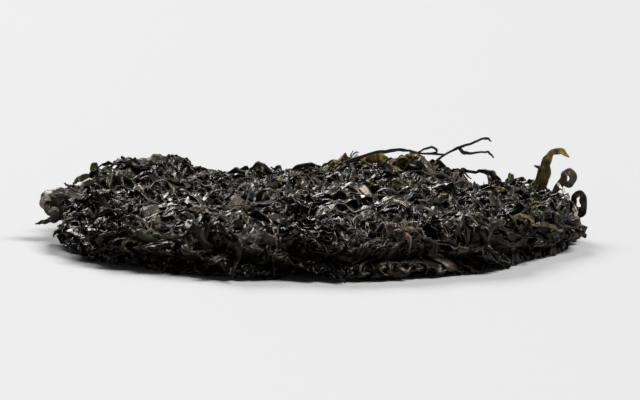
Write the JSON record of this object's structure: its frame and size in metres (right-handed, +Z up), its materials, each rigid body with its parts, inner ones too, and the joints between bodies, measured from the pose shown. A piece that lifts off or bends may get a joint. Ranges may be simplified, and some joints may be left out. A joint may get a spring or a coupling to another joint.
{
  "type": "dried laver cake",
  "caption": "Round, loosely matted cake of dried laver seaweed, near black, with a crumpled upper face, a frilled rim of curled fronds and a flat underside.",
  "frame": {"origin": "on the cake's axis, at its flat underside", "axes": "+Z up through the thickness, -Y towards the viewer, +X to the viewer's right"},
  "size_m": [0.2069, 0.2037, 0.032],
  "materials": {
    "dried_laver": "near-black brown, papery and crinkled, with a dull satin shine and a few olive fronds"
  },
  "bodies": {
    "root": {"laver_cake": "dried_laver"}
  },
  "joints": []
}
